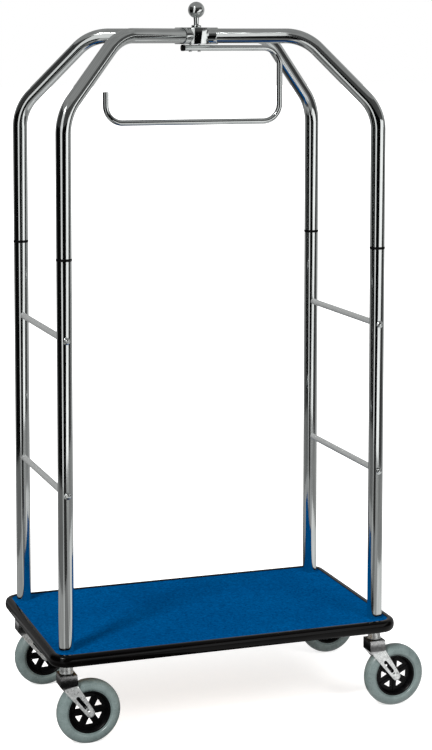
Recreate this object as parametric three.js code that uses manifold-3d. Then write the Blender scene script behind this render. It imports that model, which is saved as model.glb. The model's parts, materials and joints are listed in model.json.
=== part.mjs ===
// A hotel luggage cart: a carpeted deck with a rubber bumper on four swivel casters, four corner posts
// whose upper tubes bend inwards to a hub with a ball on top, side rails at both ends, and a garment
// rail bent like a hook and screwed under the hub.
// Millimetres. X runs along the cart, Y across it from front to back, Z up from the floor.
import * as THREE from "three";
import { mergeVertices } from "three/addons/utils/BufferGeometryUtils.js";
import Module from "manifold-3d";

// ---- Driving dimensions ----

const gap = 0.3; // between pieces that touch
const tubeRadius = 19;
const tubeWall = 1.5;
const tubeSides = 16; // also the sides of the pieces that fit in or round a tube
const smallSides = 12;

const deckTop = 239;
const deckLength = 891;
const deckWidth = 533;
const deckCornerRadius = 32;
const carpetThickness = 5;
const boardThickness = 18;
const bumperThickness = 15;
const bumperHeight = 30;
const bumperLip = 2; // the bumper's top edge over the carpet

const postSpacingX = 826;
const postSpacingY = 450;
const jointHeight = 1206; // middle of the ring between a post and its arch tube
const jointRingHeight = 5;
const archHeight = 1746; // middle of the level run into the hub
const archShoulderSum = 2026; // on the slope, height plus distance from the hub's axis
const archBendRadius = 115;

const railHeights = { upper: 1010, lower: 629 };
const railRadius = 8;

const hubRadius = 38.5;
const hubBottom = 1724;
const hubTop = 1767;
const socketReach = 56;
const socketRadius = 21.5;
const ballRadius = 21.5;
const ballHeight = 1812;

const garmentRadius = 7.5;
const garmentBendRadius = 45;
const garment = { left: -243, right: 230, topStart: -32, top: 1715, bottom: 1524, tip: 1603 };

const wheelRadius = 81;
const wheelWidth = 39;
const casterTrail = 55; // from the swivel axis back to the wheel's axle
const forkTop = 182;
const forkDepth = 47;
const forkPlate = 2.5;

// The four corners: which way each lies from the middle, and how far its wheel is turned, in degrees.
const corners = [
  { name: "front_left", x: -1, y: -1, wheelTurn: 33 },
  { name: "front_right", x: 1, y: -1, wheelTurn: 58 },
  { name: "back_left", x: -1, y: 1, wheelTurn: 32 },
  { name: "back_right", x: 1, y: 1, wheelTurn: 10 },
];

// ---- Sizes worked out from them ----

const boardTop = deckTop - carpetThickness;
const boardBottom = boardTop - boardThickness;
const tubeBore = tubeRadius - tubeWall;
const postX = postSpacingX / 2;
const postY = postSpacingY / 2;
const hubDistance = Math.hypot(postX, postY);
const ringHalf = jointRingHeight / 2;
const studRadius = 6;
const studTop = boardTop + 24;

// ---- Finishes ----

const chrome = { color: 0xc8cdce, roughness: 0.1, metalness: 1 };
const satinSteel = { color: 0xa3a6a4, roughness: 0.35, metalness: 1 };
const zinc = { color: 0xb9bcb8, roughness: 0.45, metalness: 0.9 };
const blackRubber = { color: 0x131214, roughness: 0.45, metalness: 0 };
const blackPlastic = { color: 0x17171a, roughness: 0.4, metalness: 0 };
const greyRubber = { color: 0x7d8b8a, roughness: 0.7, metalness: 0 };
const blueCarpet = { color: 0x0f4c8c, roughness: 0.95, metalness: 0 };
const plywood = { color: 0xa9835a, roughness: 0.7, metalness: 0 };

// ---- Solids ----

const wasm = await Module();
wasm.setup();

// A geometry as a manifold-3d solid.
function toSolid(geometry) {
  const bare = geometry.clone();
  bare.deleteAttribute("normal");
  bare.deleteAttribute("uv");
  const merged = mergeVertices(bare, 1e-4);
  return new wasm.Manifold(
    new wasm.Mesh({
      numProp: 3,
      vertProperties: merged.attributes.position.array,
      triVerts: new Uint32Array(merged.index.array),
    }),
  );
}

// A manifold-3d solid as a geometry.
function toGeometry(solid) {
  const mesh = solid.getMesh();
  const geometry = new THREE.BufferGeometry();
  geometry.setAttribute("position", new THREE.BufferAttribute(mesh.vertProperties, 3));
  geometry.setIndex(new THREE.BufferAttribute(mesh.triVerts, 1));
  geometry.computeVertexNormals();
  return geometry;
}

function cut(geometry, cutters) {
  const whole = toSolid(geometry);
  return toGeometry(cutters.reduce((solid, cutter) => solid.subtract(toSolid(cutter)), whole));
}

function join(geometries) {
  const [first, ...others] = geometries.map(toSolid);
  return toGeometry(others.reduce((solid, other) => solid.add(other), first));
}

// The corners of a regular polygon, as the section of a round tube or rod.
function polygon(radius, sides) {
  return Array.from({ length: sides }, (_, i) => {
    const angle = (2 * Math.PI * i) / sides;
    return new THREE.Vector2(radius * Math.cos(angle), radius * Math.sin(angle));
  });
}

function ringSection(radius, bore, sides) {
  const section = new THREE.Shape(polygon(radius, sides));
  section.holes.push(new THREE.Path(polygon(bore, sides).reverse()));
  return section;
}

// A flat outline made into a plate that stands on the XY plane.
function plate(shape, thickness) {
  return new THREE.ExtrudeGeometry(shape, { depth: thickness, bevelEnabled: false });
}

// An outline drawn in X and Z made into a plate of the given thickness, centred on Y = 0.
function uprightPlate(points, thickness) {
  const shape = new THREE.Shape(points.map(([x, z]) => new THREE.Vector2(x, z)));
  return plate(shape, thickness).rotateX(Math.PI / 2).translate(0, thickness / 2, 0);
}

// A round rod or drill along Z, from one height to another.
function rod(radius, bottom, top, sides = smallSides) {
  return plate(new THREE.Shape(polygon(radius, sides)), top - bottom).translate(0, 0, bottom);
}

// A turned piece about Z: [radius, height] pairs from the bottom up the outside to the top.
function turned(profile, sides = smallSides) {
  const points = profile.map(([radius, height]) => new THREE.Vector2(radius, height));
  return new THREE.LatheGeometry(points, sides).rotateX(Math.PI / 2);
}

function roundedRectangle(length, width, radius, cornerSteps = 4) {
  const points = [];
  for (const [quarter, signX, signY] of [[0, 1, 1], [1, -1, 1], [2, -1, -1], [3, 1, -1]]) {
    for (let step = 0; step <= cornerSteps; step++) {
      const angle = (Math.PI / 2) * (quarter + step / cornerSteps);
      const x = signX * (length / 2 - radius) + radius * Math.cos(angle);
      const y = signY * (width / 2 - radius) + radius * Math.sin(angle);
      points.push(new THREE.Vector2(x, y));
    }
  }
  return new THREE.Shape(points);
}

// A path of straight runs joined by round bends. Its stations are the ends of the runs and the steps
// of the bends, so a tube swept along it has rings only where it needs them.
class BentPath extends THREE.Curve {
  constructor(turningPoints, bendRadius, bendSteps) {
    super();
    this.stations = turningPoints.flatMap((corner, i) => {
      const before = i > 0 && corner.clone().sub(turningPoints[i - 1]).normalize();
      const after = i < turningPoints.length - 1 && turningPoints[i + 1].clone().sub(corner).normalize();
      if (!before || !after) return [{ point: corner, tangent: before || after }];
      return BentPath.bend(corner, before, after, bendRadius, bendSteps);
    });
  }

  static bend(corner, before, after, radius, steps) {
    const turn = before.angleTo(after);
    const start = corner.clone().addScaledVector(before, -radius * Math.tan(turn / 2));
    const inward = after.clone().addScaledVector(before, -before.dot(after)).normalize();
    return Array.from({ length: steps + 1 }, (_, step) => {
      const angle = (turn * step) / steps;
      const point = start.clone();
      point.addScaledVector(before, radius * Math.sin(angle));
      point.addScaledVector(inward, radius * (1 - Math.cos(angle)));
      const tangent = before.clone().multiplyScalar(Math.cos(angle));
      tangent.addScaledVector(inward, Math.sin(angle));
      return { point, tangent };
    });
  }

  station(u) {
    return this.stations[Math.round(u * (this.stations.length - 1))];
  }

  getPointAt(u, target = new THREE.Vector3()) {
    return target.copy(this.station(u).point);
  }

  getTangentAt(u, target = new THREE.Vector3()) {
    return target.copy(this.station(u).tangent);
  }
}

function bentTube(path, radius, bore, sides) {
  const steps = path.stations.length - 1;
  return new THREE.ExtrudeGeometry(ringSection(radius, bore, sides), {
    steps,
    bevelEnabled: false,
    extrudePath: path,
  });
}

function piece(name, geometry, finish) {
  const mesh = new THREE.Mesh(geometry, new THREE.MeshStandardMaterial(finish));
  mesh.name = name;
  return mesh;
}

function drillAtEachCorner(geometry, radius, sides) {
  const drills = corners.map((corner) =>
    rod(radius, 0, 2 * deckTop, sides).translate(corner.x * postX, corner.y * postY, 0),
  );
  return cut(geometry, drills);
}

// ---- Deck ----

function deck() {
  const outline = roundedRectangle(deckLength, deckWidth, deckCornerRadius);
  const board = plate(outline, boardThickness).translate(0, 0, boardBottom);
  const carpet = plate(outline, carpetThickness - gap).translate(0, 0, boardTop + gap);
  return [
    piece("deck_board", drillAtEachCorner(board, studRadius + gap, smallSides), plywood),
    piece("deck_carpet", drillAtEachCorner(carpet, tubeRadius + gap, tubeSides), blueCarpet),
    piece("deck_bumper", bumperRing(), blackRubber),
    ...[-1, 1].map(crossChannel),
  ];
}

// A ring with a half-round outside, which hides the edges of the board and the carpet.
function bumperRing() {
  const edge = 12;
  const outside = new THREE.ExtrudeGeometry(
    roundedRectangle(
      deckLength + 2 * bumperThickness,
      deckWidth + 2 * bumperThickness,
      deckCornerRadius + bumperThickness,
    ),
    {
      depth: bumperHeight - 2 * edge,
      bevelThickness: edge,
      bevelSize: edge,
      bevelOffset: -edge,
      bevelSegments: 2,
    },
  );
  outside.translate(0, 0, deckTop + bumperLip - bumperHeight + edge);
  const inside = roundedRectangle(deckLength + 2 * gap, deckWidth + 2 * gap, deckCornerRadius + gap);
  return cut(outside, [plate(inside, 2 * deckTop)]);
}

// A steel channel under the board, open downwards, that stops it from sagging between the casters.
function crossChannel(side) {
  const length = 430;
  const halfWidth = 20;
  const depth = 20;
  const wall = 2.5;
  const fromMiddle = 270;
  const outline = [
    [-halfWidth, -depth],
    [-halfWidth + wall, -depth],
    [-halfWidth + wall, -wall],
    [halfWidth - wall, -wall],
    [halfWidth - wall, -depth],
    [halfWidth, -depth],
    [halfWidth, 0],
    [-halfWidth, 0],
  ];
  const channel = uprightPlate(outline, length).translate(side * fromMiddle, 0, boardBottom - gap);
  return piece(side < 0 ? "cross_channel_left" : "cross_channel_right", channel, satinSteel);
}

// ---- Posts and arches ----

// A post stands on the board with a threaded insert in its foot, and two bolts cross it.
function post(corner) {
  const bottom = boardTop + gap;
  const top = jointHeight - ringHalf - gap;
  const tube = plate(ringSection(tubeRadius, tubeBore, tubeSides), top - bottom).translate(0, 0, bottom);
  const drills = Object.values(railHeights).map((height) =>
    rod(boltRadius + gap, -2 * tubeRadius, 2 * tubeRadius).rotateX(Math.PI / 2).translate(0, 0, height),
  );
  const insertLength = 28;
  const insert = cut(rod(tubeBore - 2 * gap, bottom, bottom + insertLength), [
    rod(studRadius + gap, 0, 2 * deckTop),
  ]);
  return [
    piece("post_" + corner.name, cut(tube, drills), chrome),
    piece("post_insert_" + corner.name, insert, zinc),
    piece("joint_ring_" + corner.name, jointRing(), blackPlastic),
  ].map((mesh) => {
    mesh.position.set(corner.x * postX, corner.y * postY, 0);
    return mesh;
  });
}

// The ring that shows between a post and its arch tube, with a spigot into each.
function jointRing() {
  const spigot = 30;
  const spigotRadius = tubeBore - 2 * gap;
  const ringRadius = tubeRadius + 0.8;
  return turned(
    [
      [0, -spigot],
      [spigotRadius, -spigot],
      [spigotRadius, -ringHalf],
      [ringRadius, -ringHalf],
      [ringRadius, ringHalf],
      [spigotRadius, ringHalf],
      [spigotRadius, spigot],
      [0, spigot],
    ],
  ).translate(0, 0, jointHeight);
}

// An arch tube rises from its post, slopes inwards and runs level into the hub's socket.
function archTube(corner) {
  const towardsPost = new THREE.Vector3(corner.x * postX, corner.y * postY, 0).normalize();
  const at = (distance, height) => towardsPost.clone().multiplyScalar(distance).setZ(height);
  const path = new BentPath(
    [
      at(hubDistance, jointHeight + ringHalf + gap),
      at(hubDistance, archShoulderSum - hubDistance),
      at(archShoulderSum - archHeight, archHeight),
      at(hubRadius + 1.5, archHeight),
    ],
    archBendRadius,
    4,
  );
  return piece("arch_tube_" + corner.name, bentTube(path, tubeRadius, tubeBore, tubeSides), chrome);
}

// ---- Side rails and their bolts ----

const boltRadius = 4;
const railEndBore = 25; // how far the threaded end of a rail reaches in

function sideRails() {
  const pieces = [];
  const length = postSpacingY - 2 * (tubeRadius + gap);
  for (const [level, height] of Object.entries(railHeights)) {
    for (const [side, sign] of [["left", -1], ["right", 1]]) {
      const rail = piece("side_rail_" + level + "_" + side, sideRail(length), satinSteel);
      rail.position.set(sign * postX, 0, height);
      pieces.push(rail);
      for (const [end, facing] of [["front", -1], ["back", 1]]) {
        const bolt = piece("rail_bolt_" + [level, end, side].join("_"), railBolt(facing), chrome);
        bolt.position.set(sign * postX, facing * postY, height);
        pieces.push(bolt);
      }
    }
  }
  return pieces;
}

// A tube along Y whose ends are thicker where they are threaded.
function sideRail(length) {
  const thread = boltRadius + gap;
  const bore = railRadius - 1.2;
  const half = length / 2;
  const profile = [
    [thread, -half],
    [railRadius, -half],
    [railRadius, half],
    [thread, half],
    [thread, half - railEndBore],
    [bore, half - railEndBore],
    [bore, railEndBore - half],
    [thread, railEndBore - half],
    [thread, -half],
  ];
  return turned(profile).rotateX(Math.PI / 2);
}

// A domed bolt with its washer, from the outside of a post through it into the rail.
function railBolt(facing) {
  const seat = tubeRadius + gap;
  const washer = seat + 1.5;
  const profile = [
    [0, -seat - railEndBore + 4],
    [boltRadius, -seat - railEndBore + 4],
    [boltRadius, seat],
    [9, seat],
    [7, washer],
    [5.5, washer + 3.5],
    [0, washer + 5],
  ];
  return turned(profile).rotateX((-facing * Math.PI) / 2);
}

// ---- Hub and ball ----

function hub() {
  const body = rod(hubRadius, hubBottom, hubTop, 24);
  const sockets = corners.map((corner) => radialRod(corner, socketRadius, hubRadius / 2, socketReach));
  const bores = corners.map((corner) =>
    radialRod(corner, tubeRadius + gap, hubRadius + 1.2, socketReach + 1),
  );
  const studHole = rod(finialStud + gap, hubTop - 20, hubTop + 1);
  const screwHoles = screwPlaces.map((x) =>
    rod(screwRadius + gap, hubBottom - 1, hubBottom + 13, 8).translate(x, 0, 0),
  );
  return piece("hub", cut(join([body, ...sockets]), [...bores, studHole, ...screwHoles]), chrome);
}

// A rod at the arches' height that points from the hub's axis to a corner.
function radialRod(corner, radius, from, to) {
  const angle = Math.atan2(corner.y * postY, corner.x * postX);
  return rod(radius, from, to, tubeSides).rotateY(Math.PI / 2).rotateZ(angle).translate(0, 0, archHeight);
}

const finialStud = 5;
const stemRadius = 7.3;
const collarHeight = 6.2;

// A ball on a stem, with a stud down into the hub, and the collar around the stem's foot.
function finial() {
  const profile = [
    [0, hubTop - 18],
    [finialStud, hubTop - 18],
    [finialStud, hubTop + gap],
    [stemRadius, hubTop + gap],
  ];
  const ballSteps = 8;
  const ballStart = Math.asin(stemRadius / ballRadius);
  for (let step = 0; step <= ballSteps; step++) {
    const angle = ballStart + ((Math.PI - ballStart) * step) / ballSteps;
    const radius = step < ballSteps ? ballRadius * Math.sin(angle) : 0;
    profile.push([radius, ballHeight - ballRadius * Math.cos(angle)]);
  }
  const bottom = hubTop + gap;
  const bore = stemRadius + gap;
  const collar = [
    [bore, bottom],
    [12.5, bottom],
    [12.5, bottom + collarHeight - 1],
    [11, bottom + collarHeight],
    [bore, bottom + collarHeight],
    [bore, bottom],
  ];
  return [
    piece("finial", turned(profile, tubeSides), chrome),
    piece("finial_collar", turned(collar, tubeSides), chrome),
  ];
}

// ---- Garment rail ----

const screwRadius = 2.5;
const screwPlaces = [-16, 8];

function garmentRail() {
  const at = (x, z) => new THREE.Vector3(x, 0, z);
  const path = new BentPath(
    [
      at(garment.topStart, garment.top),
      at(garment.right, garment.top),
      at(garment.right, garment.bottom),
      at(garment.left, garment.bottom),
      at(garment.left, garment.tip),
    ],
    garmentBendRadius,
    5,
  );
  const bore = garmentRadius - 1.2;
  const drills = screwPlaces.map((x) =>
    rod(screwRadius + gap, garment.top - 20, garment.top + 20, 8).translate(x, 0, 0),
  );
  const screws = screwPlaces.map((x, i) => {
    const screw = piece("garment_rail_screw_" + ["left", "right"][i], garmentScrew(), zinc);
    screw.position.set(x, 0, garment.top);
    return screw;
  });
  const cap = piece("garment_rail_cap", garmentCap(bore), blackPlastic);
  cap.position.set(garment.topStart, 0, garment.top);
  const tube = cut(bentTube(path, garmentRadius, bore, smallSides), drills);
  return [piece("garment_rail", tube, chrome), cap, ...screws];
}

// A pan-headed screw from under the rail, up through it into the hub.
function garmentScrew() {
  const seat = garmentRadius + gap;
  const profile = [
    [0, -seat - 2.4],
    [3.4, -seat - 2],
    [4.5, -seat],
    [screwRadius, -seat],
    [screwRadius, hubBottom - garment.top + 11],
    [0, hubBottom - garment.top + 11],
  ];
  return turned(profile, 8);
}

// A push-in end cap: its plug is inside the rail and its button closes the end.
function garmentCap(bore) {
  const plug = bore - gap;
  const button = garmentRadius + 0.7;
  const profile = [
    [0, -10],
    [plug, -10],
    [plug, gap],
    [button, gap],
    [button, 9],
    [0, 9],
  ];
  return turned(profile).rotateY(-Math.PI / 2);
}

// ---- Casters ----

const kingpinRadius = 8;
const mountPlateRadius = 27;
const axleRadius = 5;
const rimRadius = 53.5;
const hubHalfLength = 20;
const wheelSides = 20;

// One caster on its swivel axis: the mount stays with the deck, the fork swivels, the wheel rolls.
function caster(corner) {
  const swivel = new THREE.Group();
  swivel.position.set(corner.x * postX, corner.y * postY, 0);
  const axle = new THREE.Group();
  axle.position.set(casterTrail, 0, wheelRadius);
  axle.add(
    piece("caster_axle_" + corner.name, casterAxle(), zinc),
    piece("wheel_rim_" + corner.name, wheelRim(corner.wheelTurn), blackPlastic),
    piece("wheel_tyre_" + corner.name, wheelTyre(), greyRubber),
  );
  swivel.add(
    piece("caster_mount_" + corner.name, casterMount(), zinc),
    piece("caster_fork_" + corner.name, casterFork(), zinc),
    axle,
  );
  return swivel;
}

// Stud, round plate, bearing cup and kingpin, turned in one. The fork hangs on the pin's lower head.
function casterMount() {
  const plateTop = boardBottom - gap;
  const plateBottom = plateTop - 3;
  const cupBottom = forkTop + gap;
  const cupRadius = 17.5;
  const headTop = forkTop - forkPlate - gap;
  const profile = [
    [0, headTop - 5],
    [12, headTop - 5],
    [12, headTop],
    [kingpinRadius, headTop],
    [kingpinRadius, cupBottom],
    [cupRadius, cupBottom],
    [cupRadius, plateBottom],
    [mountPlateRadius, plateBottom],
    [mountPlateRadius, plateTop],
    [studRadius, plateTop],
    [studRadius, studTop],
    [0, studTop],
  ];
  return turned(profile);
}

// Pressed from one sheet: a top, a closed leading end and two legs down to the axle.
function casterFork() {
  const shoulder = forkTop - 30.5; // where the legs start to narrow
  const leading = -20.5;
  const trailing = 21.5;
  const footRadius = 11;
  const foot = new THREE.Vector2(casterTrail, wheelRadius);
  // Where an edge that comes down from (x, z) meets the round foot, on its left or right.
  const footTangent = (x, z, side) => {
    const down = foot.clone().sub(new THREE.Vector2(x, z));
    const swing = Math.acos(footRadius / down.length());
    const angle = Math.atan2(-down.y, -down.x) + side * swing;
    return [angle, foot.x + footRadius * Math.cos(angle), foot.y + footRadius * Math.sin(angle)];
  };
  const legTopLeft = [-12, shoulder - 8];
  const legTopRight = [trailing + 3, shoulder];
  const [leftAngle] = footTangent(...legTopLeft, 1);
  const [rightAngle] = footTangent(...legTopRight, -1);
  const footSteps = 8;
  const footArc = Array.from({ length: footSteps + 1 }, (_, step) => {
    const sweep = rightAngle + 2 * Math.PI - leftAngle;
    const angle = leftAngle + (sweep * step) / footSteps;
    return [foot.x + footRadius * Math.cos(angle), foot.y + footRadius * Math.sin(angle)];
  });
  const outline = [
    [leading, forkTop],
    [leading, shoulder + 2],
    legTopLeft,
    ...footArc,
    legTopRight,
    [trailing, forkTop],
  ];
  const blank = uprightPlate(outline, forkDepth);
  // The space for the wheel, open below and behind, leaves the top and the leading end.
  const wheelSpace = uprightPlate(
    [
      [leading + forkPlate, forkTop - forkPlate],
      [leading + forkPlate, shoulder + 3],
      [-9, shoulder - 7],
      [-9, 0],
      [2 * casterTrail, 0],
      [2 * casterTrail, forkTop - forkPlate],
    ],
    forkDepth - 2 * forkPlate,
  );
  const alongLeg = foot.clone().sub(new THREE.Vector2(0, shoulder)).normalize();
  const onLeg = (distance) => foot.clone().addScaledVector(alongLeg, -distance);
  const acrossFork = (radius, place) =>
    rod(radius, -forkDepth, forkDepth, 8).rotateX(Math.PI / 2).translate(place.x, 0, place.y);
  const slot = { from: 21, to: 46, radius: 4 };
  const slotEnds = [onLeg(slot.from), onLeg(slot.to)];
  const slotBar = new THREE.BoxGeometry(slot.to - slot.from, 2 * forkDepth, 2 * slot.radius);
  slotBar.rotateY(-Math.atan2(alongLeg.y, alongLeg.x));
  const slotMiddle = onLeg((slot.from + slot.to) / 2);
  slotBar.translate(slotMiddle.x, 0, slotMiddle.y);
  return cut(blank, [
    wheelSpace,
    rod(kingpinRadius + gap, forkTop - 10, forkTop + 10, tubeSides),
    acrossFork(axleRadius + gap, foot),
    acrossFork(2.5, onLeg(11)),
    ...slotEnds.map((end) => acrossFork(slot.radius, end)),
    slotBar,
  ]);
}

// The axle bolt with its head in front and its nut behind, about Y.
function casterAxle() {
  const seat = forkDepth / 2 + gap;
  const profile = [
    [0, -seat - 6],
    [8, -seat - 6],
    [8, -seat],
    [axleRadius, -seat],
    [axleRadius, seat],
    [8, seat],
    [8, seat + 5],
    [0, seat + 5],
  ];
  return turned(profile, 8).rotateX(Math.PI / 2);
}

// A deep-dished rim with a thin middle web and six triangular windows round the hub, about Y.
function wheelRim(turnDegrees) {
  const bore = axleRadius + gap;
  const rimHalf = 15;
  const web = 4;
  const profile = [
    [bore, -hubHalfLength],
    [11, -hubHalfLength],
    [13, -web],
    [45, -web],
    [49, -rimHalf],
    [rimRadius, -rimHalf],
    [rimRadius, rimHalf],
    [49, rimHalf],
    [45, web],
    [13, web],
    [11, hubHalfLength],
    [bore, hubHalfLength],
    [bore, -hubHalfLength],
  ];
  const windowSide = 20;
  const windowDistance = 29;
  const window = new THREE.Shape(
    polygon(windowSide / Math.sqrt(3), 3).map((corner) => corner.negate()),
  );
  const windows = Array.from({ length: 6 }, (_, i) =>
    plate(window, 4 * web)
      .translate(windowDistance, 0, -2 * web)
      .rotateZ((i * Math.PI) / 3 + THREE.MathUtils.degToRad(turnDegrees)),
  );
  return cut(turned(profile, wheelSides), windows).rotateX(Math.PI / 2);
}

// A solid rubber tyre with a round tread, about Y.
function wheelTyre() {
  const bore = rimRadius + gap;
  const half = wheelWidth / 2;
  const profile = [
    [bore, -15],
    [60, -half],
    [72, -half],
    [77.5, -half + 4],
    [wheelRadius, -half + 12],
    [wheelRadius, half - 12],
    [77.5, half - 4],
    [72, half],
    [60, half],
    [bore, 15],
    [bore, -15],
  ];
  return turned(profile, wheelSides).rotateX(Math.PI / 2);
}

// ---- Assembly ----

const cart = new THREE.Group();
cart.add(...deck(), ...corners.flatMap(post), ...corners.map(archTube), ...sideRails());
cart.add(hub(), ...finial(), ...garmentRail(), ...corners.map(caster));

// The casters trail to one side, so the middle of the whole cart is moved onto the origin.
const box = new THREE.Box3().setFromObject(cart);
cart.position.x = -(box.min.x + box.max.x) / 2;

const group = new THREE.Group();
group.add(cart);
export default group;
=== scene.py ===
"""Looks of the hotel luggage cart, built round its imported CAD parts. Metres, +Z up, front towards -Y."""

import json
import math

import bmesh
import bpy
from mathutils import Matrix, Vector


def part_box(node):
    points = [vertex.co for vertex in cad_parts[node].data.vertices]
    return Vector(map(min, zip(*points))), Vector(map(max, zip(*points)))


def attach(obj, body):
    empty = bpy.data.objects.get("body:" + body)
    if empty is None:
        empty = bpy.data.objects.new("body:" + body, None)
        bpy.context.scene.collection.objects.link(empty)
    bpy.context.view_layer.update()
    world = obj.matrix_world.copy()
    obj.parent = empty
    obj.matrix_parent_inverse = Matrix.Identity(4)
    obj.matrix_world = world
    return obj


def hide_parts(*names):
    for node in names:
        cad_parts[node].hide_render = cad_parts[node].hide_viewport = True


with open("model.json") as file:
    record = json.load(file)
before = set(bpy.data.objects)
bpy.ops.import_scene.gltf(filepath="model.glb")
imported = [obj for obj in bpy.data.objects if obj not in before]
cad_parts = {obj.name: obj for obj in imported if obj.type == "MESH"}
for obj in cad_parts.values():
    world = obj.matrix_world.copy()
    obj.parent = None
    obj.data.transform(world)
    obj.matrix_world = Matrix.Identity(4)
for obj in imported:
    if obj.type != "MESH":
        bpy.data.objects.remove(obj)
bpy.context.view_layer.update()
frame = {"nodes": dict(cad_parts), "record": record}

CORNERS = ["front_left", "front_right", "back_left", "back_right"]
TO_FRONT = Matrix.Rotation(math.pi / 2, 4, "X")  # turns +Z towards the cart's front

# ---- Sizes that the boxes of the CAD parts don't give ----

ARCH_SHOULDER = 2.026  # on the slope of an arch, height plus distance from the hub's axis
ARCH_BEND = 0.115
GARMENT_BEND = 0.045
GARMENT_HOOK = 0.1425  # from the hub's middle down to the open end of the garment rail
CAP_BUTTON = 0.009  # what stands out of the tube of the garment rail's end cap
TUBE_WALL = 0.0015
SIDE_RAIL_WALL = 0.0035
GARMENT_WALL = 0.0012
GAP = 0.0003  # between pieces that touch
DECK_CORNER = 0.032
HUB_RADIUS = 0.0385
SOCKET_REACH = 0.056  # from the hub's axis to the mouths of its sockets
FINIAL_STEM = 0.0073
FORK_SHEET = 0.0025
FORK_HEAD = 0.042  # length of the fork's top
FORK_SHOULDER = 0.0305  # from the fork's top down to where its legs start to narrow
SLOT_NEAR, SLOT_FAR = 0.0193, 0.0515  # the ends of a fork's slot, up the leg from the axle
KINGPIN = 0.008
CUP_RADIUS = 0.0175
AXLE_RADIUS = 0.005
RIM_RADIUS = 0.0535
RIM_HALF = 0.015
WEB_RADIUS = 0.0458
WEB_HALF = 0.003
WINDOWS = 6
WINDOW_DISTANCE = 0.029
WINDOW_REACH = 0.0118  # from a window's middle to its corners
WHEEL_TURN = {"front_left": 33, "front_right": 58, "back_left": 32, "back_right": 10}  # degrees


# ---- The frame's parts ----

slot_of = {part["node"]: part["material_slot"] for part in frame["record"]["subparts"]}
body_of = {
    node: body
    for body, nodes in frame["record"]["behaviour"]["bodies"].items()
    for node in nodes
}


def middle(node):
    low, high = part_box(node)
    return (low + high) / 2


def extent(node):
    low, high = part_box(node)
    return high - low


# ---- Meshes ----


def new_object(name, bm, sharp_angle=35):
    """An object from a bmesh, smooth apart from edges sharper than the angle in degrees."""
    bmesh.ops.remove_doubles(bm, verts=bm.verts, dist=1e-6)
    bmesh.ops.recalc_face_normals(bm, faces=bm.faces)
    mesh = bpy.data.meshes.new(name)
    bm.to_mesh(mesh)
    bm.free()
    mesh.shade_smooth()
    mesh.set_sharp_from_angle(angle=math.radians(sharp_angle))
    made = bpy.data.objects.new(name, mesh)
    bpy.context.scene.collection.objects.link(made)
    return made


def bridge(bm, rings):
    """Quads from each ring to the next and from the last to the first, all of equal length."""
    for before, after in zip(rings, rings[1:] + rings[:1]):
        count = len(before)
        for i in range(count):
            j = (i + 1) % count
            bm.faces.new((before[i], before[j], after[j], after[i]))


def revolve(bm, profile, sides=64, place=Matrix.Identity(4)):
    """Adds a turned body about Z. The profile is (radius, height) pairs, from axis to axis or closed."""
    closed = profile[0] == profile[-1]
    rings = []
    for radius, height in profile[:-1] if closed else profile:
        ring = []
        for i in range(1 if radius == 0 else sides):
            angle = 2 * math.pi * i / sides
            at = Vector((radius * math.cos(angle), radius * math.sin(angle), height))
            ring.append(bm.verts.new(place @ at))
        rings.append(ring)
    pairs = list(zip(rings, rings[1:]))
    if closed:
        pairs.append((rings[-1], rings[0]))
    for before, after in pairs:
        for i in range(sides):
            j = (i + 1) % sides
            quad = [before[i % len(before)], before[j % len(before)]]
            quad += [after[j % len(after)], after[i % len(after)]]
            bm.faces.new(list(dict.fromkeys(quad)))


def arc(centre_r, centre_z, radius, start, end, steps=6):
    """Points of a round edge in a turned profile, from one angle to the other in degrees."""
    points = []
    for step in range(steps + 1):
        angle = math.radians(start + (end - start) * step / steps)
        points.append((centre_r + radius * math.cos(angle), centre_z + radius * math.sin(angle)))
    return points


def bent_line(corners, radius, run_step=0.03, turn_step=3):
    """Points and directions along straight runs joined by round bends."""
    points = []
    last = len(corners) - 1
    for i, corner in enumerate(corners):
        before = (corner - corners[i - 1]).normalized() if i else None
        after = (corners[i + 1] - corner).normalized() if i < last else None
        if before is None or after is None:
            stations = [(corner.copy(), before or after)]
        else:
            turn = before.angle(after)
            start = corner - before * radius * math.tan(turn / 2)
            inward = (after - before * before.dot(after)).normalized()
            steps = max(2, math.ceil(math.degrees(turn) / turn_step))
            stations = []
            for step in range(steps + 1):
                angle = turn * step / steps
                point = start + before * radius * math.sin(angle)
                point += inward * radius * (1 - math.cos(angle))
                stations.append((point, before * math.cos(angle) + inward * math.sin(angle)))
        if points:
            run = stations[0][0] - points[-1][0]
            count = max(1, math.ceil(run.length / run_step))
            base, heading = points[-1][0], run.normalized()
            points += [(base + run * k / count, heading) for k in range(1, count)]
        points += stations
    return points


def sweep_tube(bm, line, side, radius, wall, sides=48, lip=0.0006):
    """Adds a tube along a flat line, hollow and with slightly rounded ends. Side is the line's normal."""
    shell = [(radius - lip, 0.0), (radius, lip)]
    first, last = line[0], line[-1]
    stations = [(first[0] + first[1] * shift, first[1], r) for r, shift in shell]
    stations += [(point, heading, radius) for point, heading in line[1:-1]]
    stations += [(last[0] - last[1] * shift, last[1], r) for r, shift in reversed(shell)]
    inner = [(point, heading, radius - wall) for point, heading in reversed(line)]
    rings = []
    for point, heading, r in stations + inner:
        across = heading.cross(side).normalized()
        ring = []
        for i in range(sides):
            angle = 2 * math.pi * i / sides
            ring.append(bm.verts.new(point + side * r * math.cos(angle) + across * r * math.sin(angle)))
        rings.append(ring)
    bridge(bm, rings)


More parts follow.
